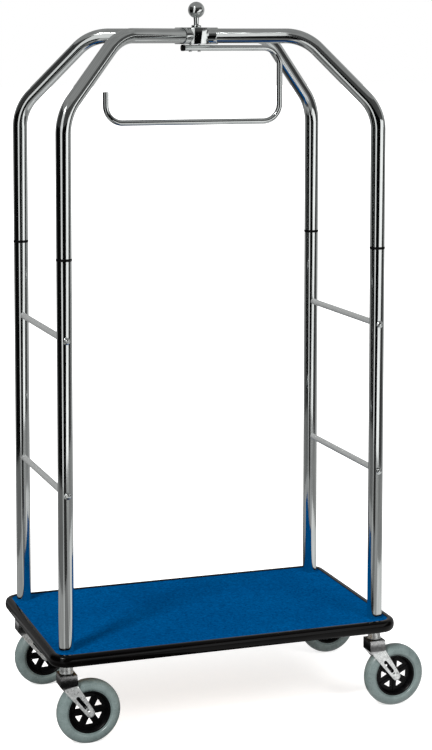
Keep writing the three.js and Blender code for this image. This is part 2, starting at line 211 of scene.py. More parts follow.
def prism(bm, outline, holes, low, high, place=Matrix.Identity(4), edge=0.0, finish=0):
    """Adds a plate with holes: outlines in the XY plane, from one height to another, its rims rounded.

    Finish is the number of its material among the object's."""
    curve = bpy.data.curves.new("outline", "CURVE")
    curve.dimensions = "2D"
    curve.fill_mode = "BOTH"
    curve.extrude = (high - low) / 2 - edge
    curve.bevel_depth = edge
    curve.offset = -edge
    curve.bevel_resolution = 2
    for loop in [outline] + holes:
        spline = curve.splines.new("POLY")
        spline.points.add(len(loop) - 1)
        for point, (x, y) in zip(spline.points, loop):
            point.co = (x, y, 0, 1)
        spline.use_cyclic_u = True
    source = bpy.data.objects.new("outline", curve)
    bpy.context.scene.collection.objects.link(source)
    mesh = bpy.data.meshes.new_from_object(source)
    mesh.transform(place @ Matrix.Translation((0, 0, (low + high) / 2)))
    part = bmesh.new()
    part.from_mesh(mesh)
    bmesh.ops.remove_doubles(part, verts=part.verts, dist=1e-6)
    for face in part.faces:
        face.material_index = finish
    part.to_mesh(mesh)
    part.free()
    bm.from_mesh(mesh)
    bpy.data.objects.remove(source)
    bpy.data.curves.remove(curve)
    bpy.data.meshes.remove(mesh)


def circle(x, y, radius, sides=32):
    angles = [2 * math.pi * i / sides for i in range(sides)]
    return [(x + radius * math.cos(angle), y + radius * math.sin(angle)) for angle in angles]


def rounded_outline(points, radius, steps=5):
    """A polygon with its corners rounded."""
    rounded = []
    count = len(points)
    for i in range(count):
        corner = Vector(points[i])
        before = (Vector(points[i - 1]) - corner).normalized()
        after = (Vector(points[(i + 1) % count]) - corner).normalized()
        half = before.angle(after) / 2
        reach = radius / math.tan(half)
        centre = corner + (before + after).normalized() * radius / math.sin(half)
        start = corner + before * reach - centre
        end = corner + after * reach - centre
        turn = start.angle_signed(end)
        for step in range(steps + 1):
            spoke = start.copy()
            spoke.rotate(Matrix.Rotation(-turn * step / steps, 2))
            rounded.append(tuple(centre + spoke))
    return rounded


def rounded_rectangle(length, width, radius, steps=12):
    """Points of a rounded rectangle, each with the direction that points outwards there."""
    points = []
    for quarter, sign_x, sign_y in [(0, 1, 1), (1, -1, 1), (2, -1, -1), (3, 1, -1)]:
        for step in range(steps + 1):
            angle = math.pi / 2 * (quarter + step / steps)
            out = Vector((math.cos(angle), math.sin(angle)))
            centre = Vector((sign_x * (length / 2 - radius), sign_y * (width / 2 - radius)))
            points.append((centre + out * radius, out))
    return points


# ---- Materials ----


class Nodes:
    """A node material, with short ways to add and link its nodes."""

    def __init__(self, name):
        self.material = bpy.data.materials.new(name)
        self.material.use_nodes = True
        self.tree = self.material.node_tree
        self.shader = self.tree.nodes["Principled BSDF"]
        self.surface = self.tree.nodes["Material Output"].inputs["Surface"]
        self.place = self.add("ShaderNodeTexCoord").outputs["Object"]

    def add(self, kind, **settings):
        node = self.tree.nodes.new(kind)
        for key, value in settings.items():
            setattr(node, key, value)
        return node

    def link(self, output, target):
        self.tree.links.new(output, target)

    def scaled(self, x, y, z):
        mapping = self.add("ShaderNodeMapping")
        mapping.inputs["Scale"].default_value = (x, y, z)
        self.link(self.place, mapping.inputs["Vector"])
        return mapping.outputs["Vector"]

    def noise(self, scale, detail=3, where=None, roughness=0.5):
        node = self.add("ShaderNodeTexNoise")
        node.inputs["Scale"].default_value = scale
        node.inputs["Detail"].default_value = detail
        node.inputs["Roughness"].default_value = roughness
        self.link(where or self.place, node.inputs["Vector"])
        return node.outputs["Fac"]

    def ramp(self, value, stops):
        """Colours by value: stops are (position, colour) pairs. A grey is one number."""
        node = self.add("ShaderNodeValToRGB")
        points = node.color_ramp.elements
        for i, (position, colour) in enumerate(stops):
            point = points[i] if i < 2 else points.new(position)
            point.position = position
            rgb = colour if isinstance(colour, tuple) else (colour,) * 3
            point.color = (*rgb, 1)
        self.link(value, node.inputs["Fac"])
        return node.outputs["Color"]

    def product(self, first, second):
        node = self.add("ShaderNodeMix", data_type="RGBA", blend_type="MULTIPLY")
        node.inputs["Factor"].default_value = 1.0
        self.link(first, node.inputs["A"])
        self.link(second, node.inputs["B"])
        return node.outputs["Result"]

    def bump(self, height, strength, distance, before=None):
        node = self.add("ShaderNodeBump")
        node.inputs["Strength"].default_value = strength
        node.inputs["Distance"].default_value = distance
        self.link(height, node.inputs["Height"])
        if before is not None:
            self.link(before, node.inputs["Normal"])
        self.link(node.outputs["Normal"], self.shader.inputs["Normal"])
        return node.outputs["Normal"]

    def colour(self, output):
        self.link(output, self.shader.inputs["Base Color"])

    def rough(self, output):
        self.link(output, self.shader.inputs["Roughness"])

    def set(self, **values):
        for key, value in values.items():
            self.shader.inputs[key.replace("_", " ")].default_value = value


def chrome():
    """Polished plate, with faint smears and the slight waviness of drawn tube."""
    n = Nodes("chrome")
    n.set(Metallic=1.0)
    smears = n.noise(9, detail=5, where=n.scaled(1, 1, 0.35))
    n.colour(n.ramp(smears, [(0.3, (0.66, 0.69, 0.68)), (0.7, (0.76, 0.785, 0.775))]))
    n.rough(n.ramp(n.noise(26, detail=1), [(0.35, 0.06), (0.75, 0.09)]))
    n.bump(n.noise(12, detail=1), strength=0.04, distance=0.0004)
    return n.material


def satin_steel():
    """Brushed steel, with fine scratches along the rails."""
    n = Nodes("satin_steel")
    n.set(Metallic=0.5)
    brushed = n.noise(60, detail=5, where=n.scaled(18, 1, 18))
    n.colour(n.ramp(brushed, [(0.25, (0.33, 0.34, 0.335)), (0.75, (0.47, 0.48, 0.475))]))
    n.rough(n.ramp(brushed, [(0.2, 0.26), (0.8, 0.42)]))
    n.bump(brushed, strength=0.15, distance=0.0002)
    return n.material


def zinc():
    """Bright zinc plate on pressed steel: grainy, with cloudy patches."""
    n = Nodes("zinc")
    n.set(Metallic=0.7)
    clouds = n.noise(160, detail=6, roughness=0.8)
    n.colour(n.ramp(clouds, [(0.32, (0.40, 0.415, 0.41)), (0.66, (0.88, 0.895, 0.885))]))
    n.rough(n.ramp(n.noise(240, detail=4), [(0.3, 0.22), (0.75, 0.46)]))
    n.bump(n.noise(900, detail=3), strength=0.35, distance=0.00025)
    return n.material


def zinc_with_painted_reflections():
    """The same plate on a fork's head, smoother, with painted reflections: bright bands painted along its
    edges, painted dark between them and on its top.
    """
    n = Nodes("zinc_with_painted_reflections")
    n.set(Metallic=1.0)
    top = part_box("caster_fork_front_left")[1].z
    head_depth = FORK_SHOULDER + 0.004
    height = n.add("ShaderNodeMapRange")
    height.inputs["From Min"].default_value = top - head_depth
    height.inputs["From Max"].default_value = top
    height.inputs["To Max"].default_value = 0.9
    split = n.add("ShaderNodeSeparateXYZ")
    n.link(n.place, split.inputs["Vector"])
    n.link(split.outputs["Z"], height.inputs["Value"])
    uneven = n.add("ShaderNodeMath", operation="MULTIPLY_ADD")
    n.link(n.noise(60, detail=4), uneven.inputs[0])
    uneven.inputs[1].default_value = 0.04
    n.link(height.outputs["Result"], uneven.inputs[2])
    # Painted reflections by height on the head: painted bright lower and upper edges, a painted dark middle
    # and a painted dark top face.
    painted_bright_lower_edge = [(0.05, 0.85), (0.13, 0.8)]
    painted_dark_middle = [(0.2, 0.2), (0.45, 0.17), (0.6, 0.38)]
    painted_bright_upper_edge = [(0.72, 0.85), (0.897, 0.9)]
    painted_dark_top_face = [(0.912, 0.03)]
    painted_reflection_bands = n.ramp(uneven.outputs["Value"], painted_bright_lower_edge + painted_dark_middle + painted_bright_upper_edge + painted_dark_top_face)
    clouds = n.ramp(n.noise(150, detail=6, roughness=0.75), [(0.35, 0.5), (0.65, 1.0)])
    n.colour(n.product(painted_reflection_bands, clouds))
    n.rough(n.ramp(n.noise(260, detail=4), [(0.3, 0.12), (0.75, 0.26)]))
    n.bump(n.noise(300, detail=3), strength=0.12, distance=0.0002)
    return n.material


def bumper_rubber():
    """Black moulded rubber with a weak shine and a slightly wavy surface."""
    n = Nodes("bumper_rubber")
    dust = n.noise(14, detail=7, roughness=0.6)
    n.colour(n.ramp(dust, [(0.35, (0.0006, 0.0005, 0.0005)), (0.8, (0.0018, 0.0015, 0.0014))]))
    n.set(Specular_IOR_Level=0.17)
    n.rough(n.ramp(n.noise(70, detail=5), [(0.3, 0.08), (0.75, 0.14)]))
    fine = n.bump(n.noise(1400, detail=2), strength=0.05, distance=0.0002)
    n.bump(n.noise(9, detail=2), strength=0.25, distance=0.002, before=fine)
    return n.material


def black_plastic(name):
    """Black moulded plastic with a fine grain."""
    n = Nodes(name)
    shades = [(0.3, (0.0006, 0.0006, 0.0007)), (0.75, (0.0022, 0.0022, 0.0025))]
    n.colour(n.ramp(n.noise(40, detail=5), shades))
    n.set(Specular_IOR_Level=0.14)
    n.rough(n.ramp(n.noise(120, detail=4), [(0.3, 0.25), (0.75, 0.42)]))
    n.bump(n.noise(1600, detail=2), strength=0.3, distance=0.0002)
    return n.material


def tyre_rubber():
    """Grey thermoplastic rubber: soft gloss, slightly blotchy, paler where it has been scuffed."""
    n = Nodes("tyre_rubber")
    blotches = n.noise(35, detail=6, roughness=0.6)
    n.colour(n.ramp(blotches, [(0.3, (0.095, 0.125, 0.122)), (0.75, (0.15, 0.188, 0.183))]))
    n.rough(n.ramp(n.noise(90, detail=5), [(0.3, 0.22), (0.75, 0.36)]))
    n.bump(n.noise(700, detail=3), strength=0.25, distance=0.0003)
    return n.material


def blue_carpet():
    """Needle felt: short matted fibres, mottled by tufts and by foot traffic."""
    n = Nodes("blue_carpet")
    traffic = n.noise(5, detail=4)
    tufts = n.noise(170, detail=5, roughness=0.75)
    wide = n.ramp(traffic, [(0.35, (0.0, 0.048, 0.158)), (0.7, (0.0, 0.056, 0.178))])
    fine = n.ramp(tufts, [(0.32, (0.5, 0.45, 0.5)), (0.68, (1.3, 1.4, 1.35))])
    n.colour(n.product(wide, fine))
    n.rough(n.ramp(tufts, [(0.3, 0.9), (0.7, 1.0)]))
    n.set(Specular_IOR_Level=0.0)
    n.bump(tufts, strength=0.9, distance=0.0012)
    return n.material


def plywood():
    """Lacquered birch plywood with its grain along the deck."""
    n = Nodes("plywood")
    grain = n.noise(30, detail=7, where=n.scaled(0.6, 9, 9), roughness=0.6)
    browns = [(0.3, (0.32, 0.19, 0.09)), (0.55, (0.47, 0.31, 0.165)), (0.8, (0.56, 0.39, 0.225))]
    n.colour(n.ramp(grain, browns))
    n.rough(n.ramp(grain, [(0.3, 0.36), (0.8, 0.55)]))
    n.bump(grain, strength=0.3, distance=0.0004)
    return n.material


PAINTED_REFLECTION_ZINC = zinc_with_painted_reflections()
FINISHES = {
    "chrome": chrome(),
    "satin_steel": satin_steel(),
    "zinc": zinc(),
    "bumper": bumper_rubber(),
    "black_plastic": black_plastic("black_plastic"),
    "wheel_rim": black_plastic("wheel_rim_plastic"),
    "tyre": tyre_rubber(),
    "carpet": blue_carpet(),
    "plywood": plywood(),
}


def stand_for(made, node):
    """The piece takes the CAD node's place, body and finish."""
    made.data.materials.append(FINISHES[slot_of[node]])
    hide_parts(node)
    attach(made, body_of[node])
    return made


# ---- Deck ----


def carpet():
    """The felt between the posts, with a fine uneven surface."""
    node = "deck_carpet"
    low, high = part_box(node)
    centre, size = middle(node), extent(node)
    cell = 0.006
    shallow = 0.0004
    count_x, count_y = round(size.x / cell), round(size.y / cell)
    bm = bmesh.new()
    top, bottom = [], []
    for i in range(count_x + 1):
        for j in range(count_y + 1):
            x = size.x * (i / count_x - 0.5)
            y = size.y * (j / count_y - 0.5)
            over = Vector((abs(x) - (size.x / 2 - DECK_CORNER), abs(y) - (size.y / 2 - DECK_CORNER)))
            if min(over) > 0 and over.length > DECK_CORNER:
                pulled = over.normalized() * DECK_CORNER - over
                x += math.copysign(1, x) * pulled.x
                y += math.copysign(1, y) * pulled.y
            across = math.sin(61 * x + 3 * math.sin(37 * y))
            along = math.sin(53 * y + 2 * math.sin(43 * x))
            dip = shallow * (1 + across * along)
            top.append(bm.verts.new((centre.x + x, centre.y + y, high.z - dip)))
            bottom.append(bm.verts.new((centre.x + x, centre.y + y, low.z)))
    row = count_y + 1
    for i in range(count_x):
        for j in range(count_y):
            a = i * row + j
            corners = (a, a + row, a + row + 1, a + 1)
            bm.faces.new([top[k] for k in corners])
            bm.faces.new([bottom[k] for k in reversed(corners)])
    around = list(range(row))
    around += [i * row + count_y for i in range(1, count_x + 1)]
    around += [count_x * row + j for j in range(count_y - 1, -1, -1)]
    around += [i * row for i in range(count_x - 1, 0, -1)]
    for a, b in zip(around, around[1:] + around[:1]):
        bm.faces.new((top[a], top[b], bottom[b], bottom[a]))
    made = stand_for(new_object("felt_carpet", bm), node)
    return made


def bumper():
    """A moulded strip round the deck, with a lip over the carpet's edge."""
    node = "deck_bumper"
    low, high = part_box(node)
    board = extent("deck_board")
    thickness = (high.x - low.x - board.x) / 2
    height = high.z - low.z
    # The section: how far out from the board's edge, as a share of the thickness, and how high up.
    section = [
        (0.03, 0.0), (0.42, 0.0), (0.66, 0.045), (0.84, 0.14), (0.95, 0.28), (1.0, 0.45),
        (0.985, 0.6), (0.93, 0.74), (0.82, 0.865), (0.66, 0.95), (0.46, 0.99), (0.26, 1.0),
        (0.02, 0.995), (-0.14, 0.985), (-0.2, 0.965), (-0.2, 0.945), (0.03, 0.935),
    ]
    centre = middle(node)
    bm = bmesh.new()
    rings = []
    for point, out in rounded_rectangle(board.x, board.y, DECK_CORNER, steps=16):
        ring = []
        for share, rise in section:
            at = point + out * thickness * share
            ring.append(bm.verts.new((centre.x + at.x, centre.y + at.y, low.z + height * rise)))
        rings.append(ring)
    bridge(bm, rings)
    return stand_for(new_object("moulded_bumper", bm, 50), node)


# ---- Tubes ----


def post_tube(corner):
    """A straight tube from the carpet up to the joint ring."""
    node = "post_" + corner
    low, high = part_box(node)
    centre = middle(node)
    line = bent_line([Vector((centre.x, centre.y, low.z)), Vector((centre.x, centre.y, high.z))], 0)
    bm = bmesh.new()
    sweep_tube(bm, line, Vector((1, 0, 0)), (high.x - low.x) / 2, TUBE_WALL, sides=72)
    return stand_for(new_object("round_" + node, bm), node)


def joint_ring(corner):
    """A thin plastic ring between two tubes, on a spigot that fills them."""
    node = "joint_ring_" + corner
    low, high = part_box(node)
    centre = middle(node)
    radius = (high.x - low.x) / 2
    spigot = extent("post_" + corner).x / 2 - TUBE_WALL - 2 * GAP
    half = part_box("arch_tube_" + corner)[0].z - centre.z - GAP
    soft = 0.0008
    profile = [(0, low.z - centre.z), (spigot, low.z - centre.z), (spigot, -half)]
    profile += arc(radius - soft, -half + soft, soft, -90, 0)
    profile += arc(radius - soft, half - soft, soft, 0, 90)
    profile += [(spigot, half), (spigot, high.z - centre.z), (0, high.z - centre.z)]
    bm = bmesh.new()
    revolve(bm, profile, place=Matrix.Translation(centre))
    return stand_for(new_object("plastic_" + node, bm), node)


def arch(corner):
    """A tube that goes on up from its post, slopes inwards and ends level in the hub."""
    node = "arch_tube_" + corner
    low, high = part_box(node)
    hub_at = middle("hub")
    post_at = middle("post_" + corner)
    radius = extent("post_" + corner).x / 2
    outward = Vector((post_at.x - hub_at.x, post_at.y - hub_at.y, 0))
    reach = outward.length
    outward.normalize()
    level = high.z - radius
    near = abs((low.x if outward.x > 0 else high.x) - hub_at.x)
    near = (near + radius * abs(outward.y)) / abs(outward.x)

    def at(distance, height):
        return Vector((hub_at.x, hub_at.y, 0)) + outward * distance + Vector((0, 0, height))

    corners = [
        at(reach, low.z),
        at(reach, ARCH_SHOULDER - reach),
        at(ARCH_SHOULDER - level, level),
        at(near, level),
    ]
    side = outward.cross(Vector((0, 0, 1)))
    line = bent_line(corners, ARCH_BEND, turn_step=1)
    bm = bmesh.new()
    sweep_tube(bm, line, side, radius, TUBE_WALL, sides=96)
    return stand_for(new_object("bent_" + node, bm), node)


def side_rail(level, side):
    """A thin tube between the two posts at one end of the cart."""
    node = f"side_rail_{level}_{side}"
    low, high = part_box(node)
    centre = middle(node)
    ends = [Vector((centre.x, y, centre.z)) for y in (low.y, high.y)]
    bm = bmesh.new()
    sweep_tube(bm, bent_line(ends, 0), Vector((1, 0, 0)), (high.x - low.x) / 2, SIDE_RAIL_WALL)
    return stand_for(new_object("round_" + node, bm), node)


def rail_bolt(level, end, side):
    """A shank through the post, a washer against it, and a domed head with a socket."""
    node = f"rail_bolt_{level}_{end}_{side}"
    low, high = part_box(node)
    centre = middle(node)
    facing = -1 if end == "front" else 1
    outside = low.y if facing < 0 else high.y
    length = high.y - low.y
    shank = 0.004
    head = 0.0048
    seat = -head - 0.0012
    dome_foot = -head + 0.0019
    washer = (high.x - low.x) / 2
    dome = 0.0068 if level == "upper" else 0.006
    profile = [(0, -length), (shank, -length), (shank, seat), (washer - 0.0012, seat)]
    profile += arc(washer - 0.0007, -head - 0.0004, 0.0007, -80, 80, 4)
    profile += [(dome + 0.0008, -head + 0.0016), (dome, dome_foot)]
    for angle in (0.35, 0.7, 1.05):
        profile.append((dome * math.cos(angle), dome_foot * (1 - math.sin(angle))))
    profile += [(0.0026, -0.0001), (0.0022, -0.0022), (0, -0.0026)]
    turn = Matrix.Rotation(-facing * math.pi / 2, 4, "X")
    bm = bmesh.new()
    revolve(bm, profile, 40, Matrix.Translation((centre.x, outside, centre.z)) @ turn)
    return stand_for(new_object("domed_" + node, bm, 50), node)


# ---- Hub, ball and garment rail ----


def hub():
    """A turned drum with four short sockets, their mouths chamfered."""
    node = "hub"
    low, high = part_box(node)
    centre = middle(node)
    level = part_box("arch_tube_front_left")[1].z - extent("post_front_left").x / 2
    soft = 0.002
    half = (high.z - low.z) / 2
    profile = [(0, -half)] + arc(HUB_RADIUS - soft, -half + soft, soft, -90, 0)
    profile += arc(HUB_RADIUS - soft, half - soft, soft, 0, 90) + [(0, half)]
    bm = bmesh.new()
    revolve(bm, profile, 96, Matrix.Translation(centre))
    bore = extent("post_front_left").x / 2 + GAP
    outer = bore + 0.0022
    root = 0.03
    chamfer = 0.0006
    socket = [(bore, root), (outer, root), (outer, SOCKET_REACH - 0.0016)]
    socket += [(outer - chamfer, SOCKET_REACH - 0.0004), (bore + chamfer, SOCKET_REACH)]
    socket += [(bore, SOCKET_REACH - chamfer), (bore, root)]
    for corner in CORNERS:
        post_at = middle("post_" + corner)
        angle = math.atan2(post_at.y - centre.y, post_at.x - centre.x)
        place = Matrix.Translation((centre.x, centre.y, level)) @ Matrix.Rotation(angle, 4, "Z")
        place = place @ Matrix.Rotation(math.pi / 2, 4, "Y")
        revolve(bm, socket, 72, place)
    return stand_for(new_object("turned_hub", bm), node)


def finial():
    """A ball on a slightly waisted stem, with a thinner pin down into the hub."""
    node = "finial"
    low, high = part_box(node)
    centre = middle(node)
    ball = (high.x - low.x) / 2
    ball_at = high.z - ball
    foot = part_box("finial_collar")[0].z
    start = math.asin(FINIAL_STEM / ball)
    pin = 0.005
    waist = 0.0009
    profile = [(0, low.z), (pin, low.z), (pin, foot), (FINIAL_STEM, foot)]
    top_of_stem = ball_at - ball * math.cos(start)
    stem_steps = 8
    for step in range(1, stem_steps):
        share = step / stem_steps
        narrowed = FINIAL_STEM - waist * math.sin(math.pi * share)
        profile.append((narrowed, foot + (top_of_stem - foot) * share))
    ball_steps = 40
    for step in range(ball_steps):
        angle = start + (math.pi - start) * step / ball_steps
        profile.append((ball * math.sin(angle), ball_at - ball * math.cos(angle)))
    profile.append((0, high.z))
    bm = bmesh.new()
    revolve(bm, profile, 80, Matrix.Translation((centre.x, centre.y, 0)))
    return stand_for(new_object("turned_finial", bm, 40), node)


def finial_collar():
    """A round collar at the stem's foot, well rounded above."""
    node = "finial_collar"
    low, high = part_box(node)
    centre = middle(node)
    radius = (high.x - low.x) / 2
    half = (high.z - low.z) / 2
    bore = FINIAL_STEM + GAP
    below, above = 0.0008, 0.0022
    profile = [(bore, -half)] + arc(radius - below, -half + below, below, -90, 0, 4)
    profile += arc(radius - above, half - above, above, 0, 90, 8) + [(bore, half), (bore, -half)]
    bm = bmesh.new()
    revolve(bm, profile, 72, Matrix.Translation(centre))
    return stand_for(new_object("turned_finial_collar", bm), node)


def garment_rail():
    """A tube from its cap under the hub, down at one end, back along the bottom and up into a hook."""
    node = "garment_rail"
    low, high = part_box(node)
    centre = middle(node)
    radius = (high.y - low.y) / 2
    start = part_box("garment_rail_cap")[0].x + CAP_BUTTON
    corners = [
        Vector((start, centre.y, high.z - radius)),
        Vector((high.x - radius, centre.y, high.z - radius)),
        Vector((high.x - radius, centre.y, low.z + radius)),
        Vector((low.x + radius, centre.y, low.z + radius)),
        Vector((low.x + radius, centre.y, middle("hub").z - GARMENT_HOOK)),
    ]
    bm = bmesh.new()
    sweep_tube(bm, bent_line(corners, GARMENT_BEND), Vector((0, 1, 0)), radius, GARMENT_WALL)
    return stand_for(new_object("bent_" + node, bm), node)


def garment_cap():
    """A round button on a plug that fills the tube."""
    node = "garment_rail_cap"
    low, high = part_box(node)
    centre = middle(node)
    radius = (high.y - low.y) / 2
    plug = radius - 0.0022
    length = high.x - low.x
    outer, inner = 0.0016, 0.0008
    profile = [(0, -length), (plug, -length), (plug, -CAP_BUTTON)]
    profile += arc(radius - inner, -CAP_BUTTON + inner, inner, -90, 0, 3)
    profile += arc(radius - outer, -outer, outer, 0, 90, 5) + [(0, 0)]
    turn = Matrix.Rotation(-math.pi / 2, 4, "Y")
    bm = bmesh.new()
    revolve(bm, profile, 48, Matrix.Translation((low.x, centre.y, centre.z)) @ turn)
    return stand_for(new_object("moulded_" + node, bm), node)


def garment_screw(side):
    """A screw from below, with a flat domed head and a small socket."""
    node = "garment_rail_screw_" + side
    low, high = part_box(node)
    centre = middle(node)
    length = high.z - low.z
    head, head_height, shank = 0.0045, 0.0024, 0.0025
    profile = [(0, 0.0011), (0.0011, 0.0009), (0.0016, 0)]
    profile += [(0.003, 0.0001), (0.0041, 0.0008), (head, 0.0019)]
    profile += [(head, head_height), (shank, head_height), (shank, length), (0, length)]
    bm = bmesh.new()
    revolve(bm, profile, 32, Matrix.Translation((centre.x, centre.y, low.z)))
    return stand_for(new_object("turned_" + node, bm, 50), node)


# ---- Casters ----


def caster_mount(corner):
    """Stud, round plate, bearing cup with a rolled lower edge, and the kingpin with its head."""
    node = "caster_mount_" + corner
    low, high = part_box(node)
    centre = middle(node)
    plate_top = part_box("deck_board")[0].z - GAP
    plate_radius = (high.x - low.x) / 2
    plate_bottom = plate_top - 0.003
    cup_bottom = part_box("caster_fork_" + corner)[1].z + GAP
    pin_head = 0.012
    pin_seat = low.z + 0.005
    roll = 0.0018
    neck = CUP_RADIUS - 0.0012
    soft = 0.001
    stud = 0.006
    profile = [(0, low.z), (0.010, low.z), (pin_head, low.z + 0.0015), (pin_head, pin_seat)]
    profile += [(KINGPIN, pin_seat), (KINGPIN, cup_bottom), (CUP_RADIUS - 0.002, cup_bottom)]
    profile += arc(CUP_RADIUS - roll, cup_bottom + roll, roll, -90, 0, 5)
    profile += [(CUP_RADIUS, cup_bottom + 0.0045), (neck, cup_bottom + 0.006)]
    profile += [(neck, plate_bottom - 0.004), (CUP_RADIUS + 0.0022, plate_bottom)]
    profile += arc(plate_radius - soft, plate_bottom + soft, soft, -90, 0, 3)
    profile += arc(plate_radius - soft, plate_top - soft, soft, 0, 90, 3)
    profile += [(stud, plate_top), (stud, high.z - soft), (stud - soft, high.z), (0, high.z)]
    bm = bmesh.new()
    revolve(bm, profile, 72, Matrix.Translation((centre.x, centre.y, 0)))
    return stand_for(new_object("pressed_" + node, bm, 40), node)


def fork_outline(corner):
    """A fork's leg seen from the front, in X and Z, with the middle of its foot and its round toe."""
    low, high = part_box("caster_fork_" + corner)
    foot = Vector((middle("caster_axle_" + corner).x, middle("caster_axle_" + corner).z))
    foot_radius = high.x - foot.x
    shoulder = high.z - FORK_SHOULDER
    leading, trailing = low.x, low.x + FORK_HEAD
    leg_left = Vector((leading + 0.0085, shoulder - 0.008))
    leg_right = Vector((trailing + 0.003, shoulder))

    def tangent(point, side):
        down = foot - point
        return math.atan2(-down.y, -down.x) + side * math.acos(foot_radius / down.length)

    start, end = tangent(leg_left, 1), tangent(leg_right, -1) + 2 * math.pi
    toe = arc(foot.x, foot.y, foot_radius, math.degrees(start), math.degrees(end), steps=24)
    outline = [(leading, high.z), (leading, shoulder + 0.002), tuple(leg_left)]
    outline += toe + [tuple(leg_right), (trailing, high.z)]
    return outline, foot, toe


def caster_fork(corner):
    """Two legs pressed from one sheet with the top and the closed leading end, ribbed along their edges."""
    node = "caster_fork_" + corner
    low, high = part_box(node)
    outline, foot, toe = fork_outline(corner)
    shoulder = high.z - FORK_SHOULDER
    swivel = middle("caster_mount_" + corner)
    down_leg = (foot - Vector((swivel.x, shoulder))).normalized()

    def on_leg(distance):
        return foot - down_leg * distance

    slot = []
    slot_half_width = 0.0045
    for distance, turn in ((SLOT_NEAR, -90), (SLOT_FAR, 90)):
        for step in range(13):
            spoke = down_leg * slot_half_width
            spoke.rotate(Matrix.Rotation(math.radians(turn + 15 * step), 2))
            slot.append(tuple(on_leg(distance) + spoke))
    small_hole = circle(*on_leg(0.011), 0.0025)
    holes = [slot, small_hole, circle(*foot, AXLE_RADIUS + GAP)]
    top_lead, brow, leg_lead = outline[:3]
    leg_trail, top_trail = outline[-2:]
    leading, trailing = top_lead[0], top_trail[0]
    half = (high.y - low.y) / 2
    upright = Matrix.Translation((0, swivel.y, 0)) @ TO_FRONT
    bm = bmesh.new()
    soft = 0.0006
    step_in = 0.0012
    rib_width = 0.0034
    for sign in (-1, 1):

        def leaf(points, cuts, out, thickness, edge, finish=0):
            near, far = sorted((sign * (half - out), sign * (half - out - thickness)))
            prism(bm, points, cuts, -far, -near, upright, edge, finish)

        leaf(outline, holes, step_in, FORK_SHEET - step_in, 0.0004)
        head = [top_lead, brow, (leading + 0.0065, shoulder - 0.004)]
        head += [(trailing + 0.0026, shoulder + 0.003), top_trail]
        leaf(head, [], 0.0, FORK_SHEET, soft, finish=1)
        for start, end in ((leg_lead, toe[0]), (leg_trail, toe[-1])):
            line = Vector(end) - Vector(start)
            inward = Vector((-line.y, line.x)).normalized() * rib_width
            if inward.dot(foot - Vector(start)) < 0:
                inward = -inward
            rib = [start, end, tuple(Vector(end) + inward), tuple(Vector(start) + inward)]
            leaf(rib, [], 0.0002, 0.0016, 0.0005)
    top = [(leading, -half), (trailing, -half), (trailing, half), (leading, half)]
    top = [(x, y + swivel.y) for x, y in top]
    kingpin_hole = circle(swivel.x, swivel.y, KINGPIN + GAP)
    prism(bm, top, [kingpin_hole], high.z - FORK_SHEET, high.z, edge=soft, finish=1)
    sill = [top_lead, brow, leg_lead, (leg_lead[0] + 0.0035, leg_lead[1] + 0.001)]
    sill += [(leading + FORK_SHEET, shoulder + 0.003), (leading + FORK_SHEET, high.z)]
    prism(bm, sill, [], -half, half, upright, soft, finish=1)
    made = stand_for(new_object("pressed_" + node, bm, 30), node)
    # The head, its top and its closed leading end take the zinc with painted reflections.
    made.data.materials.append(PAINTED_REFLECTION_ZINC)
    return made


def caster_axle(corner):
    """A bolt with washers, a hexagon head in front and a nut behind."""
    node = "caster_axle_" + corner
    low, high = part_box(node)
    centre = middle(node)
    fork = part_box("caster_fork_" + corner)
    place = Matrix.Translation((centre.x, 0, centre.z)) @ TO_FRONT
    bm = bmesh.new()
    nut_end, head_end = -high.y, -low.y - 0.004
    shank = [(0, nut_end), (0.0045, nut_end), (AXLE_RADIUS, nut_end + 0.0006)]
    shank += [(AXLE_RADIUS, head_end), (0, head_end)]
    revolve(bm, shank, 32, place)
    washer_radius, head_radius, core = 0.008, 0.0072, 0.0005
    for outside, seat in ((-low.y, -fork[0].y), (-high.y, -fork[1].y)):
        sign = 1 if outside > seat else -1
        face = seat + sign * GAP
        washer = face + sign * 0.0014
        ring = [(AXLE_RADIUS, face), (washer_radius, face), (washer_radius, washer - sign * 0.0003)]
        ring += [(washer_radius - 0.0003, washer), (AXLE_RADIUS, washer), (AXLE_RADIUS, face)]
        revolve(bm, ring, 40, place)
        tip = outside - sign * 0.0012
        head = [(core, washer), (head_radius - 0.0006, washer), (head_radius, washer + sign * 0.0004)]
        head += [(head_radius, tip - sign * 0.001), (head_radius - 0.0009, tip), (core, tip)]
        head += [(core, washer)]
        revolve(bm, head, 6, place)
    return stand_for(new_object("hexagon_" + node, bm, 25), node)


def both_sides(profile):
    """A turned profile closed by its own mirror image."""
    return profile + [(radius, -height) for radius, height in reversed(profile)] + [profile[0]]


